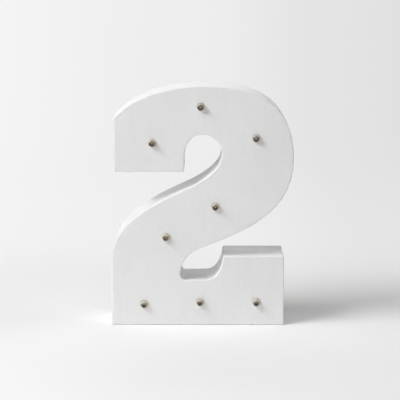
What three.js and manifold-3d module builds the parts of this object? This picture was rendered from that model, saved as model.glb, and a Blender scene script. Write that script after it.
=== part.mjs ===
// Light up marquee number: a numeral 2 made as a painted wooden box, with eight small LEDs in its face.
// Millimetres, Z up. The face looks along -Y and the origin is the middle of the underside.
import * as THREE from "three";
import { mergeVertices } from "three/addons/utils/BufferGeometryUtils.js";
import Module from "manifold-3d";

const wasm = await Module();
wasm.setup();

// Driving dimensions of the wooden numeral
const numberHeight = 160;
const numberWidth = 121;
const numberDepth = 42;
const frontThickness = 4;
const wallThickness = 3;
const backThickness = 3;
const backRecess = 4;
const edgeRound = 0.7;
const cornerRound = 1.2;

// Clearances, overrun of cuts and fineness of round stretches
const fitGap = 0.3;
const overrun = 2;
const facetAngle = THREE.MathUtils.degToRad(6);
const cornerAngle = THREE.MathUtils.degToRad(30);
const cornerSteps = 3;
const bevelSteps = 2;
const roundSides = 16;
const screwSides = 12;
const cupSides = 10;

// LEDs
const ledDiameter = 5;
const ledFlangeDiameter = 5.8;
const ledFlangeThickness = 1;
const ledLength = 8.7;
const ledHoleClearance = 0.15;
const ledCavityDiameter = 3.9;
const ledRoof = 1.6;
const leadPitch = 2.54;
const leadSize = 0.5;
const leadTail = 8;
const cupDiameter = 1.7;
const cupHeight = 0.9;
const cupWall = 0.2;
const cupDepth = 0.5;
const chipSize = 0.4;
const bondWireDiameter = 0.2;
const bondWireRise = 1.1;
const bondWireSides = 5;
const bondWireSteps = 5;
const cupDrop = 1.2;
const anvilBottom = 1.4;
const domeSteps = 5;

// Places of the LEDs, as shares of the width and the height
const ledShares = [
  [0.226, 0.765],
  [0.491, 0.915],
  [0.794, 0.785],
  [0.572, 0.5],
  [0.3, 0.372],
  [0.179, 0.089],
  [0.488, 0.097],
  [0.798, 0.096],
];

// The outline, anticlockwise from the lower left corner. Each strip of the wall has its stretches:
// two points are a straight line and four are a Bezier curve, as shares of the width and the height.
const outlineShares = {
  base_board: [[[0, 0], [0.95, 0]]],
  block_end_board: [[[0.95, 0], [0.95, 0.292]]],
  block_top_board: [[[0.95, 0.292], [0.616, 0.292]]],
  notch_strip: [
    [[0.616, 0.292], [0.611, 0.268]],
    [[0.611, 0.268], [0.604, 0.236], [0.578, 0.191], [0.52, 0.191]],
    [[0.52, 0.191], [0.396, 0.191]],
    [[0.396, 0.191], [0.377, 0.209]],
  ],
  bowl_strip: [
    [[0.377, 0.209], [0.378, 0.28], [0.44, 0.314], [0.53, 0.338]],
    [[0.53, 0.338], [0.79, 0.411], [1, 0.495], [1, 0.7]],
  ],
  crown_strip: [
    [[1, 0.7], [1, 0.93], [0.8, 1], [0.51, 1]],
    [[0.51, 1], [0.33, 1], [0.14, 0.968], [0.016, 0.87]],
  ],
  arm_end_board: [[[0.016, 0.87], [0.016, 0.646]]],
  arm_bottom_board: [[[0.016, 0.646], [0.401, 0.646]]],
  counter_strip: [
    [[0.401, 0.646], [0.401, 0.705]],
    [[0.401, 0.705], [0.401, 0.758], [0.44, 0.8], [0.497, 0.8]],
    [[0.497, 0.8], [0.562, 0.8], [0.607, 0.765], [0.607, 0.718]],
    [[0.607, 0.718], [0.607, 0.66], [0.53, 0.621], [0.449, 0.587]],
  ],
  shoulder_strip: [
    [[0.449, 0.587], [0.195, 0.502], [0, 0.424], [0, 0.27]],
    [[0, 0.27], [0, 0]],
  ],
};

// Glue blocks behind the walls, with a screw of the back panel in each
const blockNames = ["base_left", "base_right", "arm", "bowl", "notch"];
const blockShares = [
  [0.054, 0.047],
  [0.893, 0.05],
  [0.074, 0.696],
  [0.926, 0.7],
  [0.69, 0.241],
];
const blockSize = 11;
const blockDepth = 10;

// Screws: shank, head and driver cross
const woodScrew = { diameter: 2.2, head: 4.6, headHeight: 1.3, length: 9 };
const smallScrew = { diameter: 1.8, head: 3.6, headHeight: 1.1, length: 5.2 };
const shortScrew = { diameter: 1.8, head: 3.6, headHeight: 1.1, length: 4.4 };
const crossWidthShare = 0.14;
const crossLengthShare = 0.62;
const crossDepthShare = 0.7;
const headEdgeShare = 0.4;
const tipShare = 0.8;

// Battery compartment for two AAA cells that stand side by side
const cellDiameter = 10.5;
const cellLength = 44.5;
const nubDiameter = 3.8;
const nubLength = 0.9;
const cellGap = 0.5;
const contactThickness = 0.4;
const contactWidth = 9;
const contactHeight = 8.5;
const tabWidth = 3;
const tabLength = 3;
const trayWall = 1.2;
const trayFlange = 2;
const trayMargin = 2.5;
const trayCornerRound = 4;
const traySill = 0.8;
const traySideGap = 0.5;
const coverThickness = 1.6;
const coverLedge = 1;
const coverCornerRound = 2;
const hingeInset = 3;
const earWidth = 7;
const earInset = 8;
const knuckleDiameter = 3;
const pinDiameter = 1.2;
const gripRadius = 4.5;
const gripDepth = 0.8;
const gripInset = 8;

// Springs: one unbroken tube each, a cone of turns on a contact plate
const springWire = 0.6;
const springTurnCount = 3;
const springBase = 7;
const springTip = 4.4;
const springLength = 4.6;
const springTurnSteps = 8;
const springSides = 5;

// Slide switch
const switchXShare = 0.56;
const switchZShare = 0.097;
const switchBody = { width: 10, height: 6, depth: 5 };
const switchFrame = { ear: 4.75, screwMargin: 2.25, height: 6.5, thickness: 0.5 };
const pinPitch = 3;
const pinSize = 0.6;
const pinLength = 3;
const sliderTravel = 3;
const sliderKnob = { width: 3, height: 2.6, proud: 2 };
const sliderFoot = { width: 4.2, thickness: 1.2 };
const sliderGrooves = 3;
const grooveWidth = 0.35;
const grooveDepth = 0.4;

// Hanger
const hangerPlate = { width: 34, height: 16, thickness: 1.2, cornerRound: 3, screwMargin: 4 };
const hangerDrop = 3;
const keyholeDiameter = 8;
const keyholeSlot = 4;
const keyholeRise = 6;
const keyholeMargin = 1;

// Wires
const wireDiameter = 1.2;
const wireSides = 6;
const wireStep = 4.5;
const solderGap = 0.6;
const wireDepth = 6;
const wireEnd = 3;
const positiveTurnShares = [
  [0.872, 0.337, 0.112],
  [0.88, 0.527, 0.108],
];
const negativeReturnShares = [
  [0.864, 0.313, 0.072],
  [0.81, 0.408, 0.042],
  [0.665, 0.408, 0.038],
  [0.5, 0.408, 0.038],
  [0.335, 0.408, 0.038],
  [0.22, 0.4, 0.042],
];
const switchWireShares = [
  [0.3, 0.444, 0.059],
  [0.434, 0.456, 0.075],
];
const resistor = { diameter: 2.3, length: 6.3, leadDiameter: 0.6, leadLength: 4 };

// Depths of the main faces: the tips of the LEDs and the rim of the wall are the ends of the object
const ledProud = ledLength - ledFlangeThickness - frontThickness;
const faceY = (ledProud - numberDepth) / 2;
const faceBackY = faceY + frontThickness;
const rimY = faceY + numberDepth;
const backOuterY = rimY - backRecess;
const backInnerY = backOuterY - backThickness;
const flangeY = backOuterY + trayFlange;

// Colours from the photograph, or usual ones for the pieces that it doesn't show
const paint = { color: 0xf1f1ef, roughness: 0.55, metalness: 0 };
const rawBoard = { color: 0xc9ab80, roughness: 0.85, metalness: 0 };
const clearEpoxy = { color: 0xe9e6dc, roughness: 0.08, metalness: 0 };
const tinned = { color: 0xb9b6ab, roughness: 0.35, metalness: 1 };
const zincSteel = { color: 0xc3c5c8, roughness: 0.35, metalness: 1 };
const whitePlastic = { color: 0xeeeeec, roughness: 0.45, metalness: 0 };
const blackPlastic = { color: 0x1b1b1c, roughness: 0.5, metalness: 0 };
const redInsulation = { color: 0xa51d1a, roughness: 0.5, metalness: 0 };
const blackInsulation = { color: 0x1a1a1a, roughness: 0.5, metalness: 0 };
const cellJacket = { color: 0x6d7478, roughness: 0.35, metalness: 0.2 };
const resistorBody = { color: 0xc8a97c, roughness: 0.6, metalness: 0 };

const object = new THREE.Group();

// A closed geometry as a solid for joins and cuts.
function solidOf(geometry) {
  const bare = geometry.clone();
  bare.deleteAttribute("normal");
  bare.deleteAttribute("uv");
  const merged = mergeVertices(bare);
  return new wasm.Manifold(
    new wasm.Mesh({
      numProp: 3,
      vertProperties: new Float32Array(merged.attributes.position.array),
      triVerts: new Uint32Array(merged.index.array),
    }),
  );
}

function geometryOf(solid) {
  const mesh = solid.getMesh();
  const geometry = new THREE.BufferGeometry();
  geometry.setAttribute("position", new THREE.BufferAttribute(mesh.vertProperties, mesh.numProp));
  geometry.setIndex(new THREE.BufferAttribute(mesh.triVerts, 1));
  return geometry;
}

// Adds a named piece to the object, or to a group of it, and returns its mesh.
function addPiece(name, solid, look, parent = object) {
  const mesh = new THREE.Mesh(geometryOf(solid), new THREE.MeshStandardMaterial(look));
  mesh.name = name;
  parent.add(mesh);
  return mesh;
}

// A box between two corners.
function box(low, high) {
  const size = high.map((value, axis) => value - low[axis]);
  const geometry = new THREE.BoxGeometry(...size);
  geometry.translate(...high.map((value, axis) => (value + low[axis]) / 2));
  return solidOf(geometry);
}

// An outline of the XZ plane as a solid from one depth to a deeper one.
function slab(points, frontDepth, backDepth) {
  const distinct = points.filter((point, index) => !point.equals(points.at(index - 1)));
  const geometry = new THREE.ExtrudeGeometry(new THREE.Shape(distinct), {
    depth: backDepth - frontDepth,
    bevelEnabled: false,
  });
  geometry.translate(0, 0, -backDepth);
  geometry.rotateX(Math.PI / 2);
  return solidOf(geometry);
}

// A round hole or pin along Y.
function rod(x, z, diameter, frontDepth, backDepth) {
  const geometry = new THREE.CylinderGeometry(diameter / 2, diameter / 2, backDepth - frontDepth, roundSides);
  geometry.translate(x, (frontDepth + backDepth) / 2, z);
  return solidOf(geometry);
}

// A round piece along X.
function crossRod(y, z, diameter, left, right) {
  const geometry = new THREE.CylinderGeometry(diameter / 2, diameter / 2, right - left, roundSides);
  geometry.rotateZ(Math.PI / 2);
  geometry.translate((left + right) / 2, y, z);
  return solidOf(geometry);
}

// A turned piece about its own Z axis, from a profile of [radius, height] that rises.
function turned(profile, sides = roundSides) {
  const points = profile.map(([radius, height]) => new THREE.Vector2(radius, height));
  const geometry = new THREE.LatheGeometry(points, sides);
  geometry.rotateX(Math.PI / 2);
  return solidOf(geometry);
}

// A tube along a curve, with flat ends.
function tube(curve, diameter, sides, steps) {
  const section = new THREE.Shape(
    Array.from({ length: sides }, (_, side) => {
      const angle = (side / sides) * 2 * Math.PI;
      return new THREE.Vector2(Math.cos(angle), Math.sin(angle)).multiplyScalar(diameter / 2);
    }),
  );
  return solidOf(new THREE.ExtrudeGeometry(section, { steps, extrudePath: curve }));
}

// A place in the XZ plane from its shares of the width and the height.
function placeOf([xShare, zShare]) {
  return new THREE.Vector2((xShare - 0.5) * numberWidth, zShare * numberHeight);
}

// A stretch of the outline as points, without its last one. Round stretches get a point every few degrees.
function stretchPoints(shares) {
  const places = shares.map(placeOf);
  if (places.length === 2) return [places[0]];
  const curve = new THREE.CubicBezierCurve(...places);
  const turn = curve.getTangent(0).angleTo(curve.getTangent(1));
  const points = curve.getPoints(Math.max(2, Math.round(turn / facetAngle)));
  return points.slice(0, -1);
}

// The whole outline, and where each strip of the wall starts in it.
const outline = [];
const stripStarts = {};
for (const [name, stretches] of Object.entries(outlineShares)) {
  stripStarts[name] = outline.length;
  for (const stretch of stretches) outline.push(...stretchPoints(stretch));
}

// The edges that arrive at a point of a closed outline and leave it.
function edgesAt(points, index) {
  const point = points[index];
  const arriving = point.clone().sub(points.at(index - 1));
  const leaving = points[(index + 1) % points.length].clone().sub(point);
  return [arriving, leaving];
}

function isCorner(points, index) {
  const [arriving, leaving] = edgesAt(points, index);
  return Math.abs(Math.atan2(arriving.cross(leaving), arriving.dot(leaving))) > cornerAngle;
}

// The outline moved inwards by a distance, or outwards by a negative one, point by point.
// Where a short edge beside a corner would turn back, its end moves to the corner's own point.
function inset(points, distance) {
  const moved = points.map((point, index) => {
    const [arriving, leaving] = edgesAt(points, index).map((edge) => edge.normalize());
    const inwardNormal = new THREE.Vector2(-arriving.y, arriving.x);
    const bisector = new THREE.Vector2(-arriving.y - leaving.y, arriving.x + leaving.x).normalize();
    return point.clone().addScaledVector(bisector, distance / bisector.dot(inwardNormal));
  });
  points.forEach((point, corner) => {
    if (!isCorner(points, corner)) return;
    for (const step of [1, -1]) {
      let index = (corner + step + points.length) % points.length;
      while (moved[index].clone().sub(moved[corner]).dot(points[index].clone().sub(point)) < 0) {
        moved[index] = moved[corner].clone();
        index = (index + step + points.length) % points.length;
      }
    }
  });
  return moved;
}

// The outline with its real corners rounded.
function roundCorners(points, radius) {
  return points.flatMap((point, index) => {
    if (!isCorner(points, index)) return [point];
    const [arriving, leaving] = edgesAt(points, index);
    const reach = Math.min(radius, arriving.length() / 2, leaving.length() / 2);
    const start = point.clone().addScaledVector(arriving.normalize(), -reach);
    const end = point.clone().addScaledVector(leaving.normalize(), reach);
    return new THREE.QuadraticBezierCurve(start, point, end).getPoints(cornerSteps);
  });
}

// The outer form of the numeral, with the rounded edges of its face and rim.
function numeralBody() {
  const shape = new THREE.Shape(roundCorners(outline, cornerRound));
  const geometry = new THREE.ExtrudeGeometry(shape, {
    depth: numberDepth - 2 * edgeRound,
    bevelThickness: edgeRound,
    bevelSize: edgeRound,
    bevelOffset: -edgeRound,
    bevelSegments: bevelSteps,
  });
  geometry.translate(0, 0, edgeRound - rimY);
  geometry.rotateX(Math.PI / 2);
  return solidOf(geometry);
}

const body = numeralBody();
const outsidePoints = inset(outline, -overrun);
const insidePoints = inset(outline, wallThickness);
const panelPoints = inset(outline, wallThickness + fitGap);
const ledPlaces = ledShares.map(placeOf);

function addFrontPanel() {
  let panel = slab(outsidePoints, faceY - overrun, faceBackY).intersect(body);
  const holeDiameter = ledDiameter + 2 * ledHoleClearance;
  for (const { x, y: z } of ledPlaces) {
    panel = panel.subtract(rod(x, z, holeDiameter, faceY - overrun, faceBackY + overrun));
  }
  addPiece("front_panel", panel, paint);
}

// Each strip of the wall runs from its own start to the start of the next one.
function addWallStrips() {
  const names = Object.keys(stripStarts);
  names.forEach((name, index) => {
    const first = stripStarts[name];
    const last = stripStarts[names[index + 1]] ?? outline.length;
    const run = Array.from({ length: last - first + 1 }, (_, step) => (first + step) % outline.length);
    const section = [
      ...run.map((point) => outsidePoints[point]),
      ...run.toReversed().map((point) => insidePoints[point]),
    ];
    addPiece(name, slab(section, faceBackY, rimY + overrun).intersect(body), paint);
  });
}

// A glue block fills the corner between its wall and the back panel, clear of the battery compartment.
function addGlueBlocks() {
  const room = slab(panelPoints, faceBackY, backInnerY).subtract(trayShell(fitGap));
  blockNames.forEach((name, index) => {
    const place = placeOf(blockShares[index]);
    const half = blockSize / 2;
    const block = box(
      [place.x - half, backInnerY - blockDepth, place.y - half],
      [place.x + half, backInnerY, place.y + half],
    );
    const hole = rod(place.x, place.y, woodScrew.diameter + 2 * fitGap, faceBackY, backInnerY + overrun);
    addPiece(`${name}_glue_block`, block.intersect(room).subtract(hole), rawBoard);
  });
}

// A pan head screw whose head rests at a depth, seen from behind.
function addScrew(name, place, seatDepth, size) {
  const { diameter, head, headHeight, length } = size;
  let screw = turned([
    [0, -length],
    [diameter / 2, -length + tipShare * diameter],
    [diameter / 2, 0],
    [head / 2, 0],
    [head / 2, headEdgeShare * headHeight],
    [head / 4, headHeight],
    [0, headHeight],
  ], screwSides);
  const arm = (crossLengthShare * head) / 2;
  const halfWidth = (crossWidthShare * head) / 2;
  const floor = headHeight * (1 - crossDepthShare);
  screw = screw.subtract(box([-arm, -halfWidth, floor], [arm, halfWidth, headHeight + overrun]));
  screw = screw.subtract(box([-halfWidth, -arm, floor], [halfWidth, arm, headHeight + overrun]));
  const mesh = addPiece(name, screw, zincSteel);
  mesh.position.set(place.x, seatDepth, place.y);
  mesh.rotation.x = -Math.PI / 2;
}

// Places of the battery compartment, from its flange upwards. It stands beside the foot of the bowl strip.
const stemRight = placeOf(outlineShares.bowl_strip[0][0]).x - wallThickness;
const flangeBottom = wallThickness + traySill;
const cavityWidth = 2 * cellDiameter + 3 * cellGap;
const cavityLength = cellLength + springLength + 2 * contactThickness;
const recessBottom = flangeBottom + trayMargin;
const cavityBottom = recessBottom + coverLedge;
const cavityTop = cavityBottom + cavityLength;
const recessTop = cavityTop + coverLedge;
const hingeZ = recessTop + fitGap + knuckleDiameter / 2;
const pocketTop = hingeZ + knuckleDiameter / 2 + fitGap;
const flangeTop = pocketTop + trayMargin;
const coverInnerY = flangeY - coverThickness;
const cavityFloorY = coverInnerY - cellDiameter - 2 * cellGap;
const trayFloorY = cavityFloorY - trayWall;
const hingeY = backOuterY + fitGap + knuckleDiameter / 2;
const recessHalf = cavityWidth / 2 + coverLedge;
const flangeHalf = recessHalf + trayMargin;
const trayX = stemRight - traySideGap - flangeHalf;
const cellOffset = (cellDiameter + cellGap) / 2;
const hingeHalf = recessHalf - hingeInset;
const knuckleWidth = (2 * hingeHalf - 4 * fitGap) / 3;
const trayScrewPlaces = [flangeTop - earInset, flangeBottom + earInset].map(
  (z) => new THREE.Vector2(trayX + flangeHalf + earWidth / 4, z),
);

// The shell of the battery tray, wider by a gap on every side.
function trayShell(gap) {
  const half = cavityWidth / 2 + trayWall + gap;
  return box(
    [trayX - half, trayFloorY - gap, cavityBottom - trayWall - gap],
    [trayX + half, flangeY, cavityTop + trayWall + gap],
  );
}

// A rectangle with rounded corners in the XZ plane.
function roundedRectangle(left, bottom, right, top, radius) {
  const corners = [
    new THREE.Vector2(left, bottom),
    new THREE.Vector2(right, bottom),
    new THREE.Vector2(right, top),
    new THREE.Vector2(left, top),
  ];
  return roundCorners(corners, radius);
}

// An ear of the flange: a round end about its screw, joined to the flange's right edge.
function ear({ x, y: z }) {
  const half = earWidth / 2;
  const stem = box([x - half, backOuterY, z - half], [x, flangeY, z + half]);
  return rod(x, z, earWidth, backOuterY, flangeY).add(stem);
}

// The bore for the hinge pin, longer than the knuckles on both sides.
function hingeBore() {
  const diameter = pinDiameter + 2 * fitGap;
  return crossRod(hingeY, hingeZ, diameter, trayX - flangeHalf, trayX + flangeHalf);
}

// The tray keeps its flange clear of the wall and of the heads of the back panel screws.
function addBatteryTray() {
  const outerEdge = slab(
    roundedRectangle(trayX - flangeHalf, flangeBottom, trayX + flangeHalf, flangeTop, trayCornerRound),
    backOuterY,
    flangeY,
  );
  const flange = outerEdge.intersect(slab(panelPoints, backOuterY, flangeY));
  const cavity = box(
    [trayX - cavityWidth / 2, cavityFloorY, cavityBottom],
    [trayX + cavityWidth / 2, flangeY + overrun, cavityTop],
  );
  const recess = slab(
    roundedRectangle(trayX - recessHalf, recessBottom, trayX + recessHalf, recessTop, coverCornerRound),
    coverInnerY,
    flangeY + overrun,
  );
  const pocket = box(
    [trayX - hingeHalf, backOuterY, recessTop],
    [trayX + hingeHalf, flangeY + overrun, pocketTop],
  );
  const knuckleLeft = trayX - knuckleWidth / 2;
  const knuckleRight = trayX + knuckleWidth / 2;
  const knuckle = crossRod(hingeY, hingeZ, knuckleDiameter, knuckleLeft, knuckleRight);
  const web = box(
    [knuckleLeft, backOuterY + fitGap, hingeZ],
    [knuckleRight, flangeY, pocketTop + fitGap],
  );
  let tray = flange.add(ear(trayScrewPlaces[0])).add(ear(trayScrewPlaces[1])).add(trayShell(0));
  for (const { x, y: z } of blockShares.map(placeOf)) {
    tray = tray.subtract(rod(x, z, woodScrew.head + 2 * fitGap, backOuterY, flangeY));
  }
  tray = tray.subtract(cavity).subtract(recess).subtract(pocket);
  tray = tray.add(knuckle).add(web).subtract(hingeBore().intersect(pocket));
  for (const place of trayScrewPlaces) {
    const hole = rod(place.x, place.y, smallScrew.diameter + 2 * fitGap, faceBackY, flangeY + overrun);
    tray = tray.subtract(hole);
  }
  for (const side of [-1, 1]) tray = tray.subtract(tabSlot(side));
  addPiece("battery_tray", tray, whitePlastic);
}

// The slot in the floor of the tray for the solder tab of one lower contact.
function tabSlot(side) {
  const x = trayX + side * cellOffset;
  const half = tabWidth / 2 + fitGap;
  return box(
    [x - half, trayFloorY - overrun, cavityBottom],
    [x + half, cavityFloorY + fitGap, cavityBottom + contactThickness + fitGap],
  );
}

// The cover hangs on two knuckles at its upper edge and has a thumb grip near its lower one.
function addBatteryCover() {
  const half = recessHalf - fitGap;
  const top = recessTop - fitGap;
  let cover = slab(
    roundedRectangle(trayX - half, recessBottom + fitGap, trayX + half, top, coverCornerRound),
    coverInnerY,
    flangeY,
  );
  const gripZ = recessBottom + gripInset;
  cover = cover.subtract(rod(trayX, gripZ, 2 * gripRadius, flangeY - gripDepth, flangeY + overrun));
  for (const side of [-1, 1]) {
    const near = side * (knuckleWidth / 2 + fitGap);
    const far = side * (hingeHalf - fitGap);
    const left = trayX + Math.min(near, far);
    const right = trayX + Math.max(near, far);
    cover = cover.add(crossRod(hingeY, hingeZ, knuckleDiameter, left, right));
    cover = cover.add(box([left, coverInnerY, top - coverLedge], [right, flangeY, hingeZ]));
  }
  addPiece("battery_cover", cover.subtract(hingeBore()), whitePlastic);
}

function addHingePin() {
  const reach = hingeHalf - 2 * fitGap;
  addPiece("cover_hinge_pin", crossRod(hingeY, hingeZ, pinDiameter, trayX - reach, trayX + reach), zincSteel);
}

// A cell about its own Z axis, with its positive nub on top and the middle of its base at the origin.
function cellSolid() {
  const shoulder = cellLength - nubLength;
  return turned([
    [0, 0],
    [cellDiameter / 2, 0],
    [cellDiameter / 2, shoulder],
    [nubDiameter / 2, shoulder],
    [nubDiameter / 2, cellLength],
    [0, cellLength],
  ]);
}

const cellY = cavityFloorY + cellGap + cellDiameter / 2;

// The left cell stands on its spring with its nub up, and the right one stands on its nub.
function addCells() {
  const left = addPiece("left_cell", cellSolid(), cellJacket);
  left.position.set(trayX - cellOffset, cellY, cavityTop - contactThickness - cellLength);
  const right = addPiece("right_cell", cellSolid(), cellJacket);
  right.rotation.x = Math.PI;
  right.position.set(trayX + cellOffset, cellY, cavityBottom + contactThickness + cellLength);
}

// The centre line of a spring: a cone of turns that rises along Z.
class SpringCurve extends THREE.Curve {
  getPoint(share, target = new THREE.Vector3()) {
    const angle = share * springTurnCount * 2 * Math.PI;
    const radius = THREE.MathUtils.lerp(springBase, springTip, share) / 2 - springWire / 2;
    const rise = springLength - fitGap - springWire;
    return target.set(radius * Math.cos(angle), radius * Math.sin(angle), springWire / 4 + share * rise);
  }
}

const springSteps = Math.round(springTurnCount * springTurnSteps);

// The least gap between the wire of one turn and that of the next, measured on points.
function springGap() {
  const points = new SpringCurve().getPoints(springSteps);
  const apart = Math.round(springTurnSteps) - 2;
  let least = Infinity;
  for (let near = 0; near < springSteps; near++) {
    for (let far = near + apart; far <= springSteps; far++) {
      least = Math.min(least, points[near].distanceTo(points[far]) - springWire);
    }
  }
  return least;
}

function springSolid() {
  return tube(new SpringCurve(), springWire, springSides, springSteps);
}

// A lower contact stands on the lower wall of the cavity, with a solder tab through the floor.
function lowerContact(withSpring) {
  const tab = box(
    [-tabWidth / 2, trayFloorY - tabLength - cellY, -contactThickness],
    [tabWidth / 2, 0, 0],
  );
  const plate = box(
    [-contactWidth / 2, cavityFloorY + fitGap - cellY, -contactThickness],
    [contactWidth / 2, contactHeight / 2, 0],
  );
  const contact = plate.add(tab);
  if (!withSpring) return contact;
  return contact.add(springSolid());
}

function addContacts() {
  const level = cavityBottom + contactThickness;
  const negative = addPiece("negative_contact", lowerContact(true), zincSteel);
  negative.position.set(trayX - cellOffset, cellY, level);
  const positive = addPiece("positive_contact", lowerContact(false), zincSteel);
  positive.position.set(trayX + cellOffset, cellY, level);
  const bridgeHalf = cellOffset + contactWidth / 2;
  const plate = box([-bridgeHalf, -contactHeight / 2, -contactThickness], [bridgeHalf, contactHeight / 2, 0]);
  const bridge = plate.add(springSolid().translate([-cellOffset, 0, 0]));
  const upper = addPiece("bridge_contact", bridge, zincSteel);
  upper.rotation.y = Math.PI;
  upper.position.set(trayX, cellY, cavityTop - contactThickness);
}

const switchPlace = placeOf([switchXShare, switchZShare]);
const frameInnerY = backInnerY - switchFrame.thickness;
const bodyBackY = frameInnerY - switchBody.depth;
const pinTipY = bodyBackY - pinLength;
const frameWidth = switchBody.width + 2 * switchFrame.ear;
const switchScrewReach = frameWidth / 2 - switchFrame.screwMargin;
const switchScrewPlaces = [-1, 1].map(
  (side) => new THREE.Vector2(switchPlace.x + side * switchScrewReach, switchPlace.y),
);

// A box about the middle of the switch, with its knob's play added on each side.
function switchWindow(width, height, frontDepth, backDepth) {
  const halfWidth = width / 2 + fitGap;
  const halfHeight = height / 2 + fitGap;
  return box(
    [switchPlace.x - halfWidth, frontDepth, switchPlace.y - halfHeight],
    [switchPlace.x + halfWidth, backDepth, switchPlace.y + halfHeight],
  );
}

function addSwitchFrame() {
  const { height } = switchFrame;
  let frame = box(
    [switchPlace.x - frameWidth / 2, frameInnerY, switchPlace.y - height / 2],
    [switchPlace.x + frameWidth / 2, backInnerY, switchPlace.y + height / 2],
  );
  frame = frame.subtract(
    switchWindow(sliderKnob.width + sliderTravel, sliderKnob.height, frameInnerY - overrun, backOuterY),
  );
  for (const place of switchScrewPlaces) {
    const hole = rod(place.x, place.y, smallScrew.diameter + 2 * fitGap, frameInnerY - overrun, backOuterY);
    frame = frame.subtract(hole);
  }
  addPiece("switch_frame", frame, zincSteel);
}

function addSwitchBody() {
  const { width, height } = switchBody;
  let housing = box(
    [switchPlace.x - width / 2, bodyBackY, switchPlace.y - height / 2],
    [switchPlace.x + width / 2, frameInnerY, switchPlace.y + height / 2],
  );
  const floorY = frameInnerY - sliderFoot.thickness - 2 * fitGap;
  housing = housing.subtract(
    switchWindow(sliderFoot.width + sliderTravel, sliderKnob.height, floorY, frameInnerY + overrun),
  );
  for (const position of [-1, 0, 1]) {
    const x = switchPlace.x + position * pinPitch;
    const half = pinSize / 2;
    const pin = box(
      [x - half, pinTipY, switchPlace.y - half],
      [x + half, bodyBackY + half, switchPlace.y + half],
    );
    housing = housing.add(pin);
  }
  addPiece("switch_body", housing, blackPlastic);
}

// The slider lies at the left end of its travel, which is off.
function addSwitchSlider() {
  const x = switchPlace.x - sliderTravel / 2;
  const z = switchPlace.y;
  const halfHeight = sliderKnob.height / 2;
  const footTopY = frameInnerY - fitGap;
  const knobTopY = backOuterY + sliderKnob.proud;
  const foot = box(
    [x - sliderFoot.width / 2, footTopY - sliderFoot.thickness, z - halfHeight],
    [x + sliderFoot.width / 2, footTopY, z + halfHeight],
  );
  const knob = box(
    [x - sliderKnob.width / 2, footTopY, z - halfHeight],
    [x + sliderKnob.width / 2, knobTopY, z + halfHeight],
  );
  let slider = foot.add(knob);
  for (let groove = 1; groove <= sliderGrooves; groove++) {
    const middle = x - sliderKnob.width / 2 + (groove * sliderKnob.width) / (sliderGrooves + 1);
    const cut = box(
      [middle - grooveWidth / 2, knobTopY - grooveDepth, z - halfHeight - overrun],
      [middle + grooveWidth / 2, knobTopY + overrun, z + halfHeight + overrun],
    );
    slider = slider.subtract(cut);
  }
  addPiece("switch_slider", slider, blackPlastic);
}

const hangerPlace = new THREE.Vector2(0, numberHeight - wallThickness - hangerDrop - hangerPlate.height / 2);
const keyholeZ = hangerPlace.y - (keyholeRise + keyholeSlot / 2 - keyholeDiameter / 2) / 2;
const hangerScrewReach = hangerPlate.width / 2 - hangerPlate.screwMargin;
const hangerScrewPlaces = [-1, 1].map(
  (side) => new THREE.Vector2(hangerPlace.x + side * hangerScrewReach, hangerPlace.y),
);

// An upright slot with round ends, from the keyhole's round opening to the top of its slot.
function keyholeTrack(width, frontDepth, backDepth) {
  const { x } = hangerPlace;
  const top = keyholeZ + keyholeRise;
  return rod(x, keyholeZ, width, frontDepth, backDepth)
    .add(rod(x, top, width, frontDepth, backDepth))
    .add(box([x - width / 2, frontDepth, keyholeZ], [x + width / 2, backDepth, top]));
}

function addHangerPlate() {
  const { width, height, thickness, cornerRound: radius } = hangerPlate;
  const { x, y: z } = hangerPlace;
  const plateY = backOuterY + thickness;
  const corners = roundedRectangle(x - width / 2, z - height / 2, x + width / 2, z + height / 2, radius);
  let plate = slab(corners, backOuterY, plateY);
  plate = plate.subtract(rod(x, keyholeZ, keyholeDiameter, backInnerY, plateY + overrun));
  plate = plate.subtract(keyholeTrack(keyholeSlot, backInnerY, plateY + overrun));
  for (const place of hangerScrewPlaces) {
    const hole = rod(place.x, place.y, shortScrew.diameter + 2 * fitGap, backInnerY, plateY + overrun);
    plate = plate.subtract(hole);
  }
  addPiece("hanger_plate", plate, zincSteel);
}

function addBackPanel() {
  const inside = backInnerY - overrun;
  const outside = backOuterY + overrun;
  let panel = slab(panelPoints, backInnerY, backOuterY);
  panel = panel.subtract(trayShell(fitGap));
  panel = panel.subtract(switchWindow(sliderKnob.width + sliderTravel, sliderKnob.height, inside, outside));
  panel = panel.subtract(keyholeTrack(keyholeDiameter + 2 * keyholeMargin, inside, outside));
  const holes = [
    ...blockShares.map((shares) => [placeOf(shares), woodScrew]),
    ...trayScrewPlaces.map((place) => [place, smallScrew]),
    ...switchScrewPlaces.map((place) => [place, smallScrew]),
    ...hangerScrewPlaces.map((place) => [place, shortScrew]),
  ];
  for (const [place, screw] of holes) {
    panel = panel.subtract(rod(place.x, place.y, screw.diameter + 2 * fitGap, inside, outside));
  }
  addPiece("back_panel", panel, rawBoard);
}

function addScrews() {
  blockNames.forEach((name, index) => {
    addScrew(`${name}_back_screw`, placeOf(blockShares[index]), backOuterY, woodScrew);
  });
  ["upper", "side"].forEach((name, index) => {
    addScrew(`${name}_tray_screw`, trayScrewPlaces[index], flangeY, smallScrew);
  });
  const hangerSeatY = backOuterY + hangerPlate.thickness;
  ["left", "right"].forEach((name, index) => {
    addScrew(`${name}_switch_screw`, switchScrewPlaces[index], backOuterY, smallScrew);
    addScrew(`${name}_hanger_screw`, hangerScrewPlaces[index], hangerSeatY, shortScrew);
  });
}

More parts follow.
